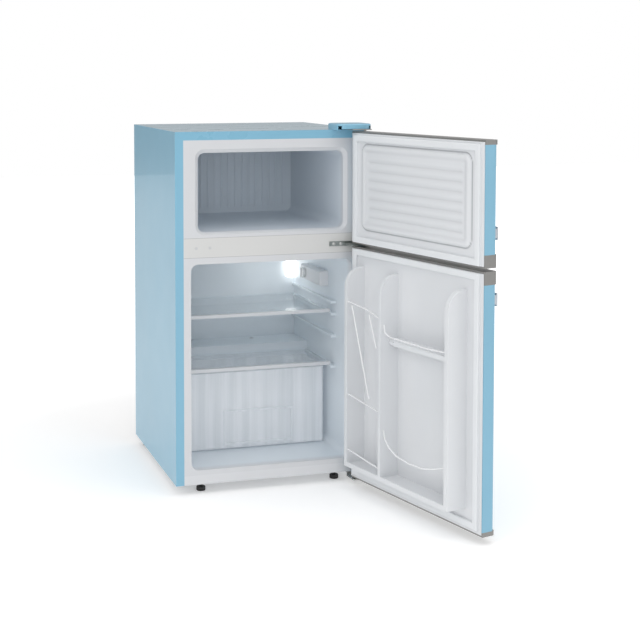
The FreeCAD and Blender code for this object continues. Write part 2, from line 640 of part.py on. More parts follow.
FLOOR_T = 7.0
SHELF_Z = 383.0
RIM_T = 4.0
LIP_T = 5.0
fr_plate = inner_plate(FR_DOOR_LOW, FR_DOOR_HIGH)
free_x0, free_x1 = WALL_SPANS["free"]
mid_x0, mid_x1 = WALL_SPANS["middle"]
hinge_x0, hinge_x1 = WALL_SPANS["hinge"]
shapes = [fr_plate]
for x0, x1 in WALL_SPANS.values():
    shapes.append(door_wall(x0, x1))
shapes.append(box(free_x1, hinge_x0, DOOR_BACK, WALL_TIP, WALL_LOW, WALL_LOW + FLOOR_T))
shapes.append(box(free_x1, hinge_x0, WALL_TIP - LIP_T, WALL_TIP, WALL_LOW, WALL_LOW + FLOOR_T + RIM_T))
SHELF_TIP = 37.0
shelf_outline = [(free_x1, PLATE_FRONT), (mid_x0, PLATE_FRONT), (mid_x0, 20), (30, 33), (10, SHELF_TIP),
                 (free_x1, SHELF_TIP)]
shelf_pts = [V(x, y, SHELF_Z) for x, y in shelf_outline]
tray_shelf = Part.Face(Part.makePolygon(shelf_pts + shelf_pts[:1])).extrude(V(0, 0, FLOOR_T))
shapes.append(tray_shelf)
shapes.append(box(free_x1, 10, SHELF_TIP - LIP_T, SHELF_TIP, SHELF_Z, SHELF_Z + FLOOR_T + RIM_T))
fr_door_liner = join(shapes)
save("fridge_door_liner", fr_door_liner, OPEN_DEG)

RAIL_R = 1.8
RAIL_Y = 40.0
SHELF_WIRE = [(mid_x0, 34, 424), (44, 38, 408), (22, RAIL_Y, 402), (-110, RAIL_Y, 401),
              (free_x1, RAIL_Y, 404)]
BOTTLE_WIRE = [(mid_x0, 34, 182), (42, 38, 164), (24, RAIL_Y, 150), (-6, 42, 139), (-50, 42, 134),
               (-100, 42, 136), (-140, 42, 146), (free_x1, 42, 158)]
CAN_BAR = [(hinge_x0, RAIL_Y, 458), (110, RAIL_Y, 450), (mid_x1, RAIL_Y, 437)]
CAN_RACK = [[(163, RAIL_Y + 4, 452), (95, RAIL_Y + 4, 246)], [(95, RAIL_Y + 4, 440), (68, RAIL_Y + 4, 369)],
            [(hinge_x0, RAIL_Y, 238), (mid_x1, RAIL_Y, 222)], [(hinge_x0, RAIL_Y, 106), (mid_x1, RAIL_Y, 92)]]
runs = [wire_run(run, RAIL_R) for run in (SHELF_WIRE, BOTTLE_WIRE, CAN_BAR)]
runs += [rod(run[0], run[1], RAIL_R) for run in CAN_RACK]
save("door_wires", Part.makeCompound(runs), OPEN_DEG)
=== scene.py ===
import json
import math

import bpy
import numpy as np
from mathutils import Matrix, Vector


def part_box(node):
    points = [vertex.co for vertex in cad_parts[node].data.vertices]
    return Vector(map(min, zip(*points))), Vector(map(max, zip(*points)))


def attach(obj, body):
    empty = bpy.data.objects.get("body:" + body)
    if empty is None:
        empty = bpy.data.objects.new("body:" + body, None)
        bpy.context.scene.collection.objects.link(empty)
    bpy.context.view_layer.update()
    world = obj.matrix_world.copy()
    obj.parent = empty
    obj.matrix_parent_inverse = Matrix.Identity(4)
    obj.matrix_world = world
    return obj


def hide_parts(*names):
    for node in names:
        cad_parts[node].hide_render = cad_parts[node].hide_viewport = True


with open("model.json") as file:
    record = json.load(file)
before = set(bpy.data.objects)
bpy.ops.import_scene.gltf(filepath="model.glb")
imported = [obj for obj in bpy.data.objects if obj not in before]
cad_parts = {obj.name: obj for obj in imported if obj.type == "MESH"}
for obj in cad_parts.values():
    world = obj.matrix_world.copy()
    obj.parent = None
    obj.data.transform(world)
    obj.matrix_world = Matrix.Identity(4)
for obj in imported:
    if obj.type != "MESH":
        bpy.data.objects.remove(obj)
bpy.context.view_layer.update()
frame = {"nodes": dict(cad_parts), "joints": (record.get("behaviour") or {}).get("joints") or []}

# ---------------------------------------------------------------- camera, floor and light
# A plain pale studio floor with a white surround. Large soft boxes stand to the left and above,
# a weak one fills from the right, and one beside the camera reaches into the cavities.
CAMERA_AT = Vector((-0.9392, -3.1382, 0.9987))
CAMERA_YAW = -0.2695
CAMERA_PITCH = -0.0565
CAMERA_ROLL = -0.0023
LENS_MM = 72.79
SENSOR_MM = 36.0
SHIFT = (0.16078, -0.27458)

camera_data = bpy.data.cameras.new("camera")
camera_data.sensor_width = SENSOR_MM
camera_data.lens = LENS_MM
camera_data.shift_x, camera_data.shift_y = SHIFT
camera = bpy.data.objects.new("camera", camera_data)
bpy.context.scene.collection.objects.link(camera)
right = Vector((math.cos(CAMERA_YAW), math.sin(CAMERA_YAW), 0.0))
ahead = Vector((-math.sin(CAMERA_YAW) * math.cos(CAMERA_PITCH),
                math.cos(CAMERA_YAW) * math.cos(CAMERA_PITCH), math.sin(CAMERA_PITCH)))
above = right.cross(ahead)
tilt = Matrix.Rotation(-CAMERA_ROLL, 3, ahead)
turn = Matrix((tilt @ right, tilt @ above, -ahead)).transposed().to_4x4()
camera.matrix_world = Matrix.Translation(CAMERA_AT) @ turn
bpy.context.scene.camera = camera


def new_mesh(name, verts, faces):
    mesh = bpy.data.meshes.new(name)
    mesh.from_pydata([tuple(v) for v in verts], [], faces)
    mesh.validate()
    mesh.update()
    obj = bpy.data.objects.new(name, mesh)
    bpy.context.scene.collection.objects.link(obj)
    return obj


# name, place, point it faces, side of the square box, watts, colour
SOFT_BOXES = (
    ("key_left", (-2.4, -1.6, 2.2), (0, -0.2, 0.4), 1.6, 11, (1.0, 1.0, 1.0)),
    ("overhead", (0.3, -0.7, 2.6), (0, -0.2, 0.3), 2.2, 16, (1.0, 0.99, 0.98)),
    ("right_fill", (2.0, -2.2, 1.2), (0.2, -0.4, 0.4), 1.2, 4, (1.0, 1.0, 1.0)),
    ("front_fill", (-0.8, -3.2, 1.3), (0, 0, 0.45), 1.0, 12, (0.96, 0.98, 1.0)),
)
for name, at, aim, side, watts, colour in SOFT_BOXES:
    data = bpy.data.lights.new(name, "AREA")
    data.shape = "RECTANGLE"
    data.size = data.size_y = side
    data.energy = watts
    data.color = colour
    lamp = bpy.data.objects.new(name, data)
    bpy.context.scene.collection.objects.link(lamp)
    lamp.location = at
    lamp.rotation_euler = (Vector(aim) - Vector(at)).to_track_quat("-Z", "Y").to_euler()


def set_range(map_range, *ends):
    for key, number in zip(("From Min", "From Max", "To Min", "To Max"), ends):
        map_range.inputs[key].default_value = number


# the surround lights more from above than from the sides, and shows plain white behind
bpy.context.scene.view_settings.view_transform = "Standard"
WORLD_LOW, WORLD_HIGH = 0.24, 0.74
LOW_SKY, HIGH_SKY = -0.1, 0.7
SEEN_WHITE = 1.0
world = bpy.data.worlds.new("studio")
world.use_nodes = True
world_nodes, world_links = world.node_tree.nodes, world.node_tree.links
backdrop = world_nodes["Background"]
backdrop.inputs["Color"].default_value = (1.0, 1.0, 1.0, 1.0)
sky = world_nodes.new("ShaderNodeTexCoord")
height_of = world_nodes.new("ShaderNodeSeparateXYZ")
shade = world_nodes.new("ShaderNodeMapRange")
seen = world_nodes.new("ShaderNodeLightPath")
pick = world_nodes.new("ShaderNodeMix")
world_links.new(sky.outputs["Generated"], height_of.inputs["Vector"])
world_links.new(height_of.outputs["Z"], shade.inputs["Value"])
set_range(shade, LOW_SKY, HIGH_SKY, WORLD_LOW, WORLD_HIGH)
world_links.new(seen.outputs["Is Camera Ray"], pick.inputs["Factor"])
world_links.new(shade.outputs["Result"], pick.inputs["A"])
pick.inputs["B"].default_value = SEEN_WHITE
world_links.new(pick.outputs["Result"], backdrop.inputs["Strength"])
bpy.context.scene.world = world

FLOOR_HALF = 9.0
floor_corners = [(-FLOOR_HALF, -FLOOR_HALF, 0), (FLOOR_HALF, -FLOOR_HALF, 0),
                 (FLOOR_HALF, FLOOR_HALF, 0), (-FLOOR_HALF, FLOOR_HALF, 0)]
floor = new_mesh("studio_floor", floor_corners, [(0, 1, 2, 3)])


class Shader:
    # a procedural finish on object coordinates: tone drift, roughness drift, fine relief, wear
    def __init__(self, name):
        self.mat = bpy.data.materials.new(name)
        self.mat.use_nodes = True
        self.nodes = self.mat.node_tree.nodes
        self.links = self.mat.node_tree.links
        self.bsdf = self.nodes["Principled BSDF"]
        self.coord = self.nodes.new("ShaderNodeTexCoord")

    def feed(self, value, socket):
        self.links.new(value, self.bsdf.inputs[socket])

    def fix(self, **values):
        for key, value in values.items():
            self.bsdf.inputs[key.replace("_", " ")].default_value = value

    def along(self, letter):
        split = self.nodes.new("ShaderNodeSeparateXYZ")
        self.links.new(self.coord.outputs["Object"], split.inputs["Vector"])
        return split.outputs[letter]

    def roughen(self, scale, low, high, detail=4.0, ends=(0.3, 0.7)):
        self.feed(self.span(self.noise(scale, detail), *ends, low, high), "Roughness")

    def noise(self, scale, detail=4.0, stretch=None):
        tex = self.nodes.new("ShaderNodeTexNoise")
        tex.inputs["Scale"].default_value = scale
        tex.inputs["Detail"].default_value = detail
        source = self.coord.outputs["Object"]
        if stretch:
            mapping = self.nodes.new("ShaderNodeMapping")
            mapping.inputs["Scale"].default_value = stretch
            self.links.new(source, mapping.inputs["Vector"])
            source = mapping.outputs["Vector"]
        self.links.new(source, tex.inputs["Vector"])
        return tex.outputs["Fac"]

    def span(self, value, low, high, out_low, out_high):
        ramp = self.nodes.new("ShaderNodeMapRange")
        set_range(ramp, low, high, out_low, out_high)
        self.links.new(value, ramp.inputs["Value"])
        return ramp.outputs["Result"]

    def blend(self, factor, first, second):
        mix = self.nodes.new("ShaderNodeMix")
        mix.data_type = "RGBA"
        self.links.new(factor, mix.inputs["Factor"])
        for key, colour in (("A", first), ("B", second)):
            socket = [s for s in mix.inputs if s.name == key and s.type == "RGBA"][0]
            if isinstance(colour, tuple):
                socket.default_value = colour + (1.0,)
            else:
                self.links.new(colour, socket)
        return [s for s in mix.outputs if s.type == "RGBA"][0]

    def relief(self, height, strength, distance):
        bump = self.nodes.new("ShaderNodeBump")
        bump.inputs["Strength"].default_value = strength
        bump.inputs["Distance"].default_value = distance
        self.links.new(height, bump.inputs["Height"])
        self.feed(bump.outputs["Normal"], "Normal")


ROUGH_SCALE, ROUGH_DRIFT = 14.0, 0.07
ROUGH_ENDS = (0.25, 0.75)
RUB_SCALE, RUB_DETAIL = 95.0, 9.0
RUB_LOW, RUB_HIGH = 0.60, 0.85
FLAT = 2.0


def finish(name, colour, rough, drift=0.04, drift_scale=5.0, grain=900.0, relief=0.12, depth=0.0002,
           metal=0.0, coat=0.0, wear=0.25, wear_colour=(0.42, 0.42, 0.41), stretch=None, **fixed):
    s = Shader(name)
    low = tuple(c * (1 - drift) for c in colour)
    high = tuple(min(1.0, c * (1 + drift)) for c in colour)
    tone = s.blend(s.span(s.noise(drift_scale), 0.3, 0.7, 0, 1), low, high)
    rubbed = s.span(s.noise(RUB_SCALE, RUB_DETAIL), RUB_LOW, RUB_HIGH, 0.0, wear)
    s.feed(s.blend(rubbed, tone, wear_colour), "Base Color")
    s.roughen(ROUGH_SCALE, rough * (1 - ROUGH_DRIFT), rough * (1 + ROUGH_DRIFT), FLAT, ROUGH_ENDS)
    s.relief(s.noise(grain, FLAT, stretch), relief, depth)
    s.fix(Metallic=metal, Coat_Weight=coat, **fixed)
    return s.mat


def paint(obj, mat):
    obj.data.materials.clear()
    obj.data.materials.append(mat)
    return obj


paint(floor, finish("floor_paper", (0.95, 0.95, 0.95), 0.8, drift=0.005, grain=160, relief=0.03, wear=0.0,
                    Emission_Color=(1.0, 1.0, 1.0, 1.0)))
# painted light: for the camera the paper glows weakly near the object and strongly away from it, where it
# meets the white surround, leaving a painted shade round the object
NEAR, FAR = 0.7, 2.2
PAPER_LOW, PAPER_HIGH = 0.24, 0.85
paper = floor.data.materials[0].node_tree
kinds = ("TexCoord", "VectorMath", "MapRange", "LightPath", "Mix")
spot, reach, painted_floor_glow, eye, choose = (paper.nodes.new("ShaderNode" + kind) for kind in kinds)
reach.operation = "LENGTH"
paper.links.new(spot.outputs["Object"], reach.inputs[0])
paper.links.new(reach.outputs["Value"], painted_floor_glow.inputs["Value"])
set_range(painted_floor_glow, NEAR, FAR, PAPER_LOW, PAPER_HIGH)
choose.inputs["A"].default_value = PAPER_LOW
paper.links.new(painted_floor_glow.outputs["Result"], choose.inputs["B"])
paper.links.new(eye.outputs["Is Camera Ray"], choose.inputs["Factor"])
paper.links.new(choose.outputs["Result"], paper.nodes["Principled BSDF"].inputs["Emission Strength"])

# ---------------------------------------------------------------- pressed steel cabinet
# Side and top panels of thin sheet steel with folded front flanges that meet in a mitre.
# Sprayed in pale blue gloss enamel with a faint orange-peel texture.
node = frame["nodes"]


def coat_all(mat, *names):
    for name in names:
        paint(node[name], mat)


SAME_POINT = 0.00001
SHARP = math.radians(40)


def soften(name, width, segments=2):
    # rounds the sharp edges of a made part without touching its mesh
    weld = node[name].modifiers.new("weld", "WELD")
    weld.merge_threshold = SAME_POINT
    bevel = node[name].modifiers.new("edge", "BEVEL")
    bevel.width = width
    bevel.segments = segments
    bevel.limit_method = "ANGLE"
    bevel.angle_limit = SHARP
    bevel.harden_normals = False
    smooth = node[name].modifiers.new("normals", "WEIGHTED_NORMAL")
    smooth.keep_sharp = True


BLUE = (0.225, 0.475, 0.63)
blue_enamel = finish("blue_enamel", BLUE, 0.30, drift=0.02, drift_scale=3.0, grain=260, relief=0.05,
                     depth=0.0003, coat=0.25, wear=0.02, wear_colour=(0.34, 0.54, 0.66))
coat_all(blue_enamel, "left_side_panel", "right_side_panel", "top_hinge_cover", "freezer_door_skin",
         "fridge_door_skin")

# the flat top is painted grey, a painted reflection of the pale surround seen at a grazing angle, and its
# folded front edge stays blue
REFLECTED_GREY = (0.44, 0.56, 0.63)
FOLD_SHEET, FOLD_FADE = 0.0008, 0.0008
fold_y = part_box("top_panel")[0].y
top_enamel = Shader("top_enamel")
flat_from = fold_y + FOLD_SHEET
on_top = top_enamel.span(top_enamel.along("Y"), flat_from, flat_from + FOLD_FADE, 0.0, 1.0)
# painted reflection: this grey stands for the surround mirrored in the glossy top
painted_reflection = top_enamel.blend(top_enamel.noise(3.0), tuple(c * 0.98 for c in REFLECTED_GREY), REFLECTED_GREY)
top_enamel.feed(top_enamel.blend(on_top, BLUE, painted_reflection), "Base Color")
top_enamel.roughen(ROUGH_SCALE, 0.26, 0.30)
top_enamel.relief(top_enamel.noise(260.0, FLAT), 0.02, 0.0002)
top_enamel.fix(Coat_Weight=0.25)
paint(node["top_panel"], top_enamel.mat)

# ---------------------------------------------------------------- galvanised back and floor
# Zinc-coated steel sheet, cut and folded to shape, closes the back and the underside. The
# coating has a dull grey spangle.
zinc = finish("zinc_sheet", (0.58, 0.60, 0.62), 0.42, drift=0.10, drift_scale=45, grain=500, relief=0.1,
              metal=0.85, wear=0.15)
coat_all(zinc, "back_panel", "bottom_panel", "base_pan")

# ---------------------------------------------------------------- vacuum-formed liners
# Freezer and fridge cavities drawn from white polystyrene sheet, satin, slightly cool in tone.
white_liner = finish("white_liner", (0.75, 0.765, 0.785), 0.30, drift=0.02, grain=420, relief=0.05,
                     coat=0.15, wear=0.03, wear_colour=(0.70, 0.72, 0.74))
RIM_WHITE = (0.66, 0.67, 0.69)
RIM_END, SHADE_TINT_END = 0.004, 0.030
FLANGE_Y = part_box("mullion_cover")[0].y


def cavity_shade_tint(name, shade_tint_colour, rough):
    # white at the rim and a cooler blue-white inside, a painted shade tint for the cool light in the cavity;
    # the plastic is the same throughout
    s = Shader(name)
    deep = s.span(s.along("Y"), FLANGE_Y + RIM_END, FLANGE_Y + SHADE_TINT_END, 0.0, 1.0)
    inner = s.blend(s.noise(7.0), tuple(c * 0.95 for c in shade_tint_colour), shade_tint_colour)
    s.feed(s.blend(deep, RIM_WHITE, inner), "Base Color")
    s.roughen(16.0, rough * (1 - ROUGH_DRIFT), rough * (1 + ROUGH_DRIFT), FLAT, ROUGH_ENDS)
    s.relief(s.noise(380.0, FLAT), 0.06, 0.0002)
    return s.mat


# painted shade: the freezer cavity is tinted darker than the fridge cavity because it lies in deeper shade
freezer_white = cavity_shade_tint("freezer_white", (0.73, 0.79, 0.85), 0.34)
fridge_white = cavity_shade_tint("fridge_white", (0.80, 0.86, 0.91), 0.30)
paint(node["freezer_liner"], freezer_white)
paint(node["fridge_liner"], fridge_white)

# ---------------------------------------------------------------- white front trims
# Extruded white strips across the mullion and under the door opening, with the blanking
# plugs for a left-hand hinge pressed into the mullion.
white_trim = finish("white_trim", (0.70, 0.71, 0.73), 0.32, drift=0.015, grain=600, relief=0.05,
                    coat=0.1, wear=0.06, wear_colour=(0.7, 0.71, 0.72))
coat_all(white_trim, "front_sill", "thermostat_housing", "upper_shelf_trim", "lower_shelf_trim")

# thin shadowed joint lines run along the strip's upper and lower edges
JOINT_LINE = 0.0013
JOINT_GREY = (0.30, 0.31, 0.32)
strip_low, strip_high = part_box("mullion_cover")
strip = Shader("mullion_white")
near_top = strip.span(strip.along("Z"), strip_high.z - JOINT_LINE, strip_high.z, 0.0, 1.0)
near_foot = strip.span(strip.along("Z"), strip_low.z + JOINT_LINE, strip_low.z, 0.0, 1.0)
toned = strip.blend(strip.noise(6.0), (0.66, 0.66, 0.65), (0.68, 0.68, 0.67))
lined = strip.blend(near_top, toned, JOINT_GREY)
strip.feed(strip.blend(near_foot, lined, JOINT_GREY), "Base Color")
strip.roughen(18.0, 0.28, 0.38, 6.0)
strip.relief(strip.noise(600.0, FLAT), 0.05, 0.0002)
paint(node["mullion_cover"], strip.mat)
plug_white = finish("plug_white", (0.60, 0.61, 0.62), 0.4, grain=700, relief=0.1, wear=0.1)
paint(node["mullion_plugs"], plug_white)

# ---------------------------------------------------------------- hidden insulation
# Poured polyurethane foam fills the walls, floor and doors; evaporator plates lie against
# the liners behind it.
foam_cream = finish("foam_cream", (0.80, 0.72, 0.48), 0.85, drift=0.08, drift_scale=30, grain=700,
                    relief=0.5, depth=0.0006, wear=0.1)
coat_all(foam_cream, "cabinet_foam", "freezer_door_foam", "fridge_door_foam")
plate_metal = finish("plate_metal", (0.72, 0.73, 0.75), 0.35, metal=0.9, grain=400, relief=0.08)
paint(node["evaporator_plates"], plate_metal)

# ---------------------------------------------------------------- glass shelves
# Two toughened glass plates, faintly green, each with a white moulded strip clipped on
# its front edge.
glass = Shader("shelf_glass")
glass.feed(glass.blend(glass.noise(3.0), (0.90, 0.96, 0.97), (0.94, 0.98, 0.99)), "Base Color")
glass.roughen(9.0, 0.02, 0.09, 6.0)
glass.relief(glass.noise(12.0), 0.02, 0.0002)
glass.fix(Transmission_Weight=1.0, IOR=1.3, Alpha=0.40)
GROUND_EDGE, MOULDED_EDGE = 0.0008, 0.0018
for shelf in ("upper_shelf", "lower_shelf"):
    paint(node[shelf + "_glass"], glass.mat)
    soften(shelf + "_glass", GROUND_EDGE)
    soften(shelf + "_trim", MOULDED_EDGE)

# ---------------------------------------------------------------- crisper drawer
# Injection-moulded translucent bin with a raised border on its face. The melt flowed
# upward, which leaves faint upright streaks.
FLOW = (1.0, 1.0, 0.03)
STREAKS_PER_M = 48.0
CLEAR_LOW, CLEAR_HIGH = 0.52, 0.64
clear_bin = Shader("clear_bin")
streak = clear_bin.noise(STREAKS_PER_M, 5.0, FLOW)
milky = clear_bin.span(streak, 0.36, 0.64, 0.0, 1.0)
clear_bin.feed(clear_bin.blend(milky, (0.86, 0.89, 0.92), (0.95, 0.97, 1.0)), "Base Color")
clear_bin.feed(clear_bin.span(streak, 0.35, 0.65, CLEAR_LOW, CLEAR_HIGH), "Alpha")
clear_bin.roughen(16.0, 0.17, 0.22, FLAT)
clear_bin.relief(clear_bin.noise(70.0, FLAT, FLOW), 0.06, 0.0005)
# the faint emission stands for daylight that passes through the thin wall
clear_bin.fix(Transmission_Weight=0.2, IOR=1.35, Emission_Color=(0.9, 0.95, 1.0, 1.0), Emission_Strength=0.07)
paint(node["crisper_drawer"], clear_bin.mat)
soften("crisper_drawer", width=0.0011)

# ---------------------------------------------------------------- thermostat and lamp
# A white housing on the right wall holds the dial and switch; the lamp sits behind a ribbed
# lens in the rear corner and is lit.
soften("thermostat_housing", width=0.0008)
dial_white = finish("dial_white", (0.80, 0.81, 0.82), 0.35, grain=800, relief=0.1, wear=0.08)
paint(node["thermostat_knob"], dial_white)
soften("thermostat_knob", width=0.0009)
switch_black = finish("black_moulding", (0.02, 0.02, 0.021), 0.5, drift=0.2, grain=900, relief=0.2,
                      wear=0.2, wear_colour=(0.10, 0.10, 0.10))
coat_all(switch_black, "thermostat_switch", "start_relay_box", "drip_tray", "cord_gland", "rear_feet",
         "front_foot_left", "front_foot_right")
LENS_GLOW = 2.2
RIBS_PER_M = 110.0
lens = Shader("lamp_lens")
ribs = lens.nodes.new("ShaderNodeTexWave")
ribs.inputs["Scale"].default_value = RIBS_PER_M
ribs.bands_direction = "X"
lens.links.new(lens.coord.outputs["Object"], ribs.inputs["Vector"])
lens.relief(ribs.outputs["Fac"], 0.5, 0.0006)
lens.feed(lens.blend(ribs.outputs["Fac"], (0.95, 0.95, 0.92), (1.0, 1.0, 0.98)), "Emission Color")
lens.roughen(30.0, 0.2, 0.35)
lens.fix(Emission_Strength=LENS_GLOW)
paint(node["lamp_lens"], lens.mat)
bulb_glass = finish("bulb_glass", (0.98, 0.96, 0.9), 0.2, wear=0.0, Emission_Strength=1.0)
paint(node["lamp_bulb"], bulb_glass)

# the lamp's own light, in front of the lens and never seen itself
LAMP_WATTS = 0.15
LAMP_RADIUS = 0.05
LAMP_LEFT, LAMP_FORWARD = 0.07, 0.09
lens_low, lens_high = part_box("lamp_lens")
glow = bpy.data.lights.new("lamp_glow", "POINT")
glow.energy = LAMP_WATTS
glow.shadow_soft_size = LAMP_RADIUS
glow.color = (1.0, 0.99, 0.95)
glow_obj = bpy.data.objects.new("lamp_glow", glow)
bpy.context.scene.collection.objects.link(glow_obj)
for ray in ("camera", "glossy", "transmission"):
    setattr(glow_obj, "visible_" + ray, False)
glow_obj.location = (lens_low.x - LAMP_LEFT, lens_low.y - LAMP_FORWARD, (lens_low.z + lens_high.z) / 2)

# ---------------------------------------------------------------- hinges
# Zinc-plated pressed brackets with riveted pins. The plastic bushes turn in the door caps.
plated = finish("plated_steel", (0.62, 0.62, 0.61), 0.3, drift=0.05, grain=500, relief=0.1, metal=0.9,
                wear=0.2)
brushed = finish("brushed_hinge", (0.34, 0.37, 0.36), 0.36, drift=0.12, drift_scale=60, grain=400,
                 relief=0.2, metal=0.9, wear=0.3, wear_colour=(0.62, 0.64, 0.63), stretch=(0.2, 1.0, 1.0))
coat_all(plated, "top_hinge_bracket", "bottom_hinge", "foot_nuts", "compressor_bolts")
paint(node["middle_hinge"], brushed)
for name in ("top_hinge_bracket", "middle_hinge", "bottom_hinge"):
    soften(name, width=0.0005)
coat_all(plug_white, "freezer_door_bushes", "fridge_door_bushes", "drain_tube")


# pan-head screws, two to a hinge, with a plain round dimple in place of the driver's recess
def socket_of(tree, name):
    return [i for i in tree.interface.items_tree if i.item_type == "SOCKET" and i.name == name][0].identifier


def scatter_tree(name):
    tree = bpy.data.node_groups.new(name, "GeometryNodeTree")
    tree.interface.new_socket("Geometry", in_out="INPUT", socket_type="NodeSocketGeometry")
    tree.interface.new_socket("Piece", in_out="INPUT", socket_type="NodeSocketObject")
    tree.interface.new_socket("Turn", in_out="INPUT", socket_type="NodeSocketVector")
    tree.interface.new_socket("Material", in_out="INPUT", socket_type="NodeSocketMaterial")
    tree.interface.new_socket("Geometry", in_out="OUTPUT", socket_type="NodeSocketGeometry")
    n, k = tree.nodes, tree.links
    inputs, output = n.new("NodeGroupInput"), n.new("NodeGroupOutput")
    info, spread = n.new("GeometryNodeObjectInfo"), n.new("GeometryNodeInstanceOnPoints")
    real, dye = n.new("GeometryNodeRealizeInstances"), n.new("GeometryNodeSetMaterial")
    k.new(inputs.outputs["Piece"], info.inputs["Object"])
    k.new(inputs.outputs["Geometry"], spread.inputs["Points"])
    k.new(info.outputs["Geometry"], spread.inputs["Instance"])
    k.new(inputs.outputs["Turn"], spread.inputs["Rotation"])
    k.new(spread.outputs["Instances"], real.inputs["Geometry"])
    k.new(real.outputs["Geometry"], dye.inputs["Geometry"])
    k.new(inputs.outputs["Material"], dye.inputs["Material"])
    k.new(dye.outputs["Geometry"], output.inputs["Geometry"])
    return tree


SCATTER = scatter_tree("set_out_pieces")


def settle(obj):
    # turns the evaluated result into a plain mesh
    bpy.context.view_layer.update()
    ready = obj.evaluated_get(bpy.context.evaluated_depsgraph_get())
    mesh = bpy.data.meshes.new_from_object(ready)
    obj.modifiers.clear()
    obj.data = mesh
    return obj


def set_out(name, piece, points, turn_xyz, mat):
    obj = new_mesh(name, points, [])
    mod = obj.modifiers.new("set_out", "NODES")
    mod.node_group = SCATTER
    mod[socket_of(SCATTER, "Piece")] = piece
    mod[socket_of(SCATTER, "Turn")] = turn_xyz
    mod[socket_of(SCATTER, "Material")] = mat
    return settle(obj)


def lathe(name, profile, sides):
    # a turned piece about +Z from (radius, height) pairs, first and last on the axis
    verts, faces = [], []
    inner = profile[1:-1]
    for r, z in inner:
        for i in range(sides):
            a = 2 * math.pi * i / sides
            verts.append((r * math.cos(a), r * math.sin(a), z))
    first, last = len(verts), len(verts) + 1
    verts += [(0, 0, profile[0][1]), (0, 0, profile[-1][1])]
    for row in range(len(inner) - 1):
        for i in range(sides):
            j = (i + 1) % sides
            a, b = row * sides, (row + 1) * sides
            faces.append((a + i, a + j, b + j, b + i))
    top = (len(inner) - 1) * sides
    for i in range(sides):
        j = (i + 1) % sides
        faces.append((first, j, i))
        faces.append((last, top + i, top + j))
    return new_mesh(name, verts, faces)


HEAD_R = 0.0040
HEAD_TALL = 0.0021
HEAD_SIDES = 20
head = lathe("screw_head", [(0, 0), (HEAD_R, 0), (HEAD_R, HEAD_TALL * 0.35), (HEAD_R * 0.86, HEAD_TALL * 0.8),
                            (HEAD_R * 0.55, HEAD_TALL), (HEAD_R * 0.22, HEAD_TALL * 0.98),
                            (HEAD_R * 0.12, HEAD_TALL * 0.45), (0, HEAD_TALL * 0.4)], HEAD_SIDES)
TOP_X, MIDDLE_X, BOTTOM_X = (0.198, 0.222), (0.154, 0.172), (0.200, 0.226)
top_y, top_z = FLANGE_Y + 0.020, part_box("top_hinge_bracket")[1].z
middle_y, middle_z = FLANGE_Y - 0.0025, 0.5835
bottom_y, bottom_z = FLANGE_Y + 0.040, 0.021
hinge_sets = (
    ("top_hinge_screw_heads", [(x, top_y, top_z) for x in TOP_X], (0, 0, 0)),
    ("middle_hinge_screw_heads", [(x, middle_y, middle_z) for x in MIDDLE_X], (math.pi / 2, 0, 0)),
    ("bottom_hinge_screw_heads", [(x, bottom_y, bottom_z) for x in BOTTOM_X], (math.pi, 0, 0)),
)
for name, points, turned in hinge_sets:
    heads = set_out(name, head, points, turned, plated)
    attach(heads, "cabinet")
    if name.startswith("top"):
        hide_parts("hinge_screws")
bpy.data.objects.remove(head)

# ---------------------------------------------------------------- freezer back ribs
# Shallow upright ribs moulded in the freezer's back wall, in the same plastic, evenly
# spaced. They cover the evaporator plate behind.
RIB_FOOT, RIB_FACE = 0.0030, 0.0016
RIB_PROUD, RIB_TALL = 0.0016, 0.15
RIB_START, RIB_END, RIB_STEP = -0.150, 0.151, 0.0187
RIB_ABOVE_PLATES = 0.328
BACK_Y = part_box("freezer_liner")[1].y - 0.0016
rib_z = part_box("evaporator_plates")[0].z + RIB_ABOVE_PLATES
rib_plan = ((-RIB_FOOT, 0), (-RIB_FACE, -RIB_PROUD), (RIB_FACE, -RIB_PROUD), (RIB_FOOT, 0))
stave = new_mesh("stave", [(x, y, z) for z in (0, RIB_TALL) for x, y in rib_plan],
                 [(0, 1, 5, 4), (1, 2, 6, 5), (2, 3, 7, 6), (3, 0, 4, 7), (3, 2, 1, 0), (4, 5, 6, 7)])
rib_places = [(x, BACK_Y, rib_z) for x in np.arange(RIB_START, RIB_END, RIB_STEP)]
ribs_back = set_out("freezer_back_ribs", stave, rib_places, (0, 0, 0), freezer_white)
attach(ribs_back, "cabinet")
bpy.data.objects.remove(stave)

# ---------------------------------------------------------------- compressor and cooling circuit
# A black welded pot on rubber grommets, copper lines, and a wire-on-tube condenser held off
# the back by four clips.
pot_black = finish("pot_black", (0.018, 0.018, 0.02), 0.33, drift=0.2, grain=200, relief=0.2, coat=0.3,
                   wear=0.15, wear_colour=(0.09, 0.09, 0.09))
coat_all(pot_black, "compressor", "condenser")
rubber = finish("grommet_rubber", (0.02, 0.02, 0.02), 0.8, grain=900, relief=0.3, wear=0.1,
                wear_colour=(0.08, 0.08, 0.08))
paint(node["compressor_grommets"], rubber)
copper = finish("copper_tube", (0.72, 0.36, 0.22), 0.32, drift=0.14, drift_scale=30, metal=0.9, grain=300,
                relief=0.1, wear=0.35, wear_colour=(0.30, 0.16, 0.10))
coat_all(copper, "filter_drier", "refrigerant_lines")

# ---------------------------------------------------------------- doors: where they are
# Both doors hang on vertical pins and stand open. The closed shape is worked out from the
# hinge joint, so that moulded pieces can be drawn square and then turned.
hinge = [j for j in frame["joints"] if j["name"] == "fridge_door_hinge"][0]
PIN = Vector((hinge["pos_m"][0], hinge["pos_m"][1], 0.0))
OPEN = -math.radians(hinge["range_deg"][0])
swing = Matrix.Translation(PIN) @ Matrix.Rotation(OPEN, 4, "Z") @ Matrix.Translation(-PIN)


def closed_box(name):
    back = swing.inverted()
    co = np.array([back @ v.co for v in node[name].data.vertices])
    return co.min(0), co.max(0)


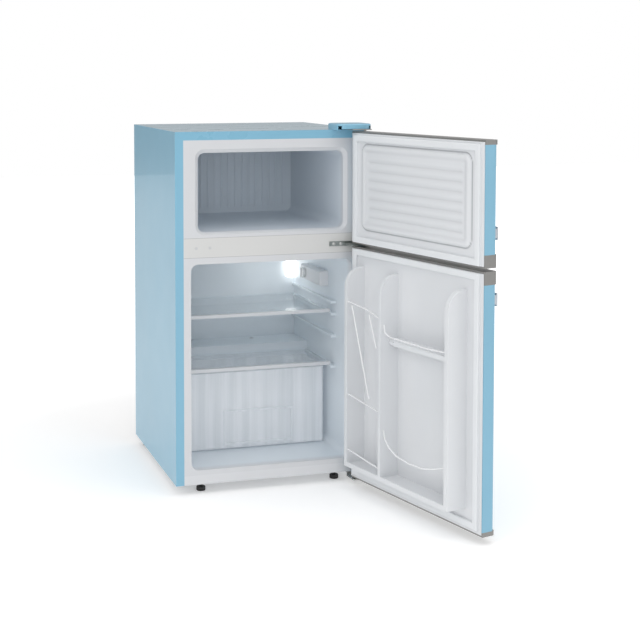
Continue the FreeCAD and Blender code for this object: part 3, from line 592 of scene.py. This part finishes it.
# ---------------------------------------------------------------- silver door caps
# Moulded end caps in metallic silver, the deep ones meeting at the gap between the doors.
silver = finish("silver_paint", (0.29, 0.285, 0.275), 0.36, drift=0.03, grain=1400, relief=0.12, metal=0.55,
                coat=0.15, wear=0.15)
for door in ("freezer_door", "fridge_door"):
    for cap in ("_top_cap", "_bottom_cap"):
        paint(node[door + cap], silver)
        soften(door + cap, width=0.0012)

# ---------------------------------------------------------------- handles
# Short satin metal pulls near the free edge, one low on the upper door, one high on the lower.
pull = finish("pull_metal", (0.60, 0.63, 0.67), 0.34, drift=0.05, grain=160, relief=0.1, metal=0.85,
              wear=0.25, stretch=(1.0, 1.0, 14.0))
for door in ("freezer_door", "fridge_door"):
    paint(node[door + "_handle"], pull)
    soften(door + "_handle", width=0.0016, segments=3)

# ---------------------------------------------------------------- magnetic gaskets
# Soft white extrusions welded at the corners, with two bellows folds towards the cabinet.
seal_white = finish("seal_white", (0.80, 0.82, 0.84), 0.5, drift=0.02, grain=500, relief=0.1, wear=0.08)
SEAL_WIDE = 0.014
FOLD_IN, FACE_IN = 0.0016, 0.0020
# across the seal in metres, and through it as a share of its depth
SEAL_SECTION = ((0, 0), (FOLD_IN, 0.30), (0, 0.5), (0, 0.86), (FACE_IN, 1), (SEAL_WIDE - 0.0022, 1),
                (SEAL_WIDE, 0.86), (SEAL_WIDE, 0.5), (SEAL_WIDE - FOLD_IN, 0.30), (SEAL_WIDE, 0))
for door in ("freezer_door", "fridge_door"):
    low, high = closed_box(door + "_gasket")
    deep = high[1] - low[1]
    verts, faces = [], []
    for off, tall in SEAL_SECTION:
        y = low[1] + tall * deep
        verts += [(low[0] + off, y, low[2] + off), (high[0] - off, y, low[2] + off),
                  (high[0] - off, y, high[2] - off), (low[0] + off, y, high[2] - off)]
    count = len(SEAL_SECTION)
    for a in range(count):
        b = (a + 1) % count
        for i in range(4):
            j = (i + 1) % 4
            faces.append((a * 4 + i, a * 4 + j, b * 4 + j, b * 4 + i))
    seal = new_mesh(door + "_seal", verts, faces)
    seal.data.transform(swing)
    paint(seal, seal_white)
    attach(seal, door)
    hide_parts(door + "_gasket")

# ---------------------------------------------------------------- freezer door inner panel
# One vacuum-formed sheet: a raised field with rounded border, filled with shallow
# horizontal corrugations.
low, high = closed_box("freezer_door_liner")
COLS, ROWS = 150, 170
RIB_PITCH = 0.0215
SIDE_LAND, FREE_LAND, FOOT_LAND, TOP_LAND = 0.040, 0.042, 0.034, 0.026
FIELD_CORNER = 0.020
STEP_WIDE, SUNK_AT, SUNK_WIDE = 0.005, 0.011, 0.007
RIBBED_AT, RIBBED_WIDE = 0.022, 0.010
GROOVE_OUT, GROOVE_WIDE = 0.0015, 0.0013
LIFT, SUNK, GROOVE, RIB_DEEP = 0.0050, 0.0020, 0.0012, 0.0026
SHEET = 0.0015


def rise(value, edge, width):
    return np.clip((value - edge) / width, 0, 1)


def rounded_depth(gx, gz, x0, x1, z0, z1, r):
    # how far a point lies inside a rounded rectangle, negative outside
    dx = np.abs(gx - (x0 + x1) / 2) - (x1 - x0) / 2 + r
    dz = np.abs(gz - (z0 + z1) / 2) - (z1 - z0) / 2 + r
    outer = np.hypot(np.maximum(dx, 0), np.maximum(dz, 0))
    return r - outer - np.minimum(np.maximum(dx, dz), 0)


xs = np.linspace(low[0], high[0], COLS)
zs = np.linspace(low[2], high[2], ROWS)
gx, gz = np.meshgrid(xs, zs)
field = (low[0] + SIDE_LAND, high[0] - FREE_LAND, low[2] + FOOT_LAND, high[2] - TOP_LAND)
inside = rounded_depth(gx, gz, *field, FIELD_CORNER)
lift = rise(inside, 0.0, STEP_WIDE)
lift = lift * lift * (3 - 2 * lift)
sunk = rise(inside, SUNK_AT, SUNK_WIDE)
sunk = sunk * sunk * (3 - 2 * sunk)
groove = np.exp(-((inside + GROOVE_OUT) / GROOVE_WIDE) ** 2)
ribbed = rise(inside, RIBBED_AT, RIBBED_WIDE)
waves = np.abs(np.sin(math.pi * (gz - low[2]) / RIB_PITCH)) ** 0.7
height = LIFT * lift - SUNK * sunk - GROOVE * groove - RIB_DEEP * ribbed * (1 - waves)
front_y = low[1] + SHEET + height
verts = [(x, y, z) for x, y, z in zip(gx.ravel(), front_y.ravel(), gz.ravel())]
base = len(verts)
verts += [(x, low[1], z) for x, z in zip(gx.ravel(), gz.ravel())]
faces = []
for r in range(ROWS - 1):
    for c in range(COLS - 1):
        a = r * COLS + c
        faces.append((a, a + COLS, a + COLS + 1, a + 1))
        faces.append((base + a, base + a + 1, base + a + COLS + 1, base + a + COLS))
rim = list(range(COLS)) + [r * COLS + COLS - 1 for r in range(1, ROWS)]
rim += [(ROWS - 1) * COLS + c for c in range(COLS - 2, -1, -1)] + [r * COLS for r in range(ROWS - 2, 0, -1)]
for i, a in enumerate(rim):
    b = rim[(i + 1) % len(rim)]
    faces.append((a, b, base + b, base + a))
panel = new_mesh("freezer_door_panel", verts, faces)
panel.data.transform(swing)
panel.data.shade_smooth()
cavity = panel.data.attributes.new("cavity", "FLOAT", "POINT")
# painted shade darkens the groove, the gaps between the ribs and the foot of the step
FOOT_AT, FOOT_WIDE = 0.015, 0.004
painted_groove_shade = groove + 0.22 * ribbed * (1 - waves) + 0.12 * np.exp(-((inside - FOOT_AT) / FOOT_WIDE) ** 2)
cavity.data.foreach_set("value", np.concatenate([painted_groove_shade.ravel(), np.zeros(base)]))
panel_white = Shader("panel_white")
stored = panel_white.nodes.new("ShaderNodeAttribute")
stored.attribute_name = "cavity"
panel_tone = panel_white.blend(panel_white.noise(5.0), (0.745, 0.76, 0.78), (0.765, 0.78, 0.80))
# the darker grey mixed in by the stored values is painted shade
panel_white.feed(panel_white.blend(stored.outputs["Fac"], panel_tone, (0.34, 0.35, 0.37)), "Base Color")
panel_white.roughen(ROUGH_SCALE, 0.29, 0.33)
panel_white.relief(panel_white.noise(420.0, FLAT), 0.05, 0.0002)
paint(panel, panel_white.mat)
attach(panel, "freezer_door")
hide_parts("freezer_door_liner")

# ---------------------------------------------------------------- fridge door inner panel
# A white moulding with three upright walls, a can column, an upper bin and a bottle bin.
paint(node["fridge_door_liner"], white_liner)
soften("fridge_door_liner", width=0.0022, segments=3)

# ---------------------------------------------------------------- wire retainers
# Steel wires dipped in white plastic hold cans and bottles in the door.
dipped = finish("dipped_wire", (0.86, 0.87, 0.88), 0.25, drift=0.02, grain=400, relief=0.05, coat=0.3,
                wear=0.05)
paint(node["door_wires"], dipped)
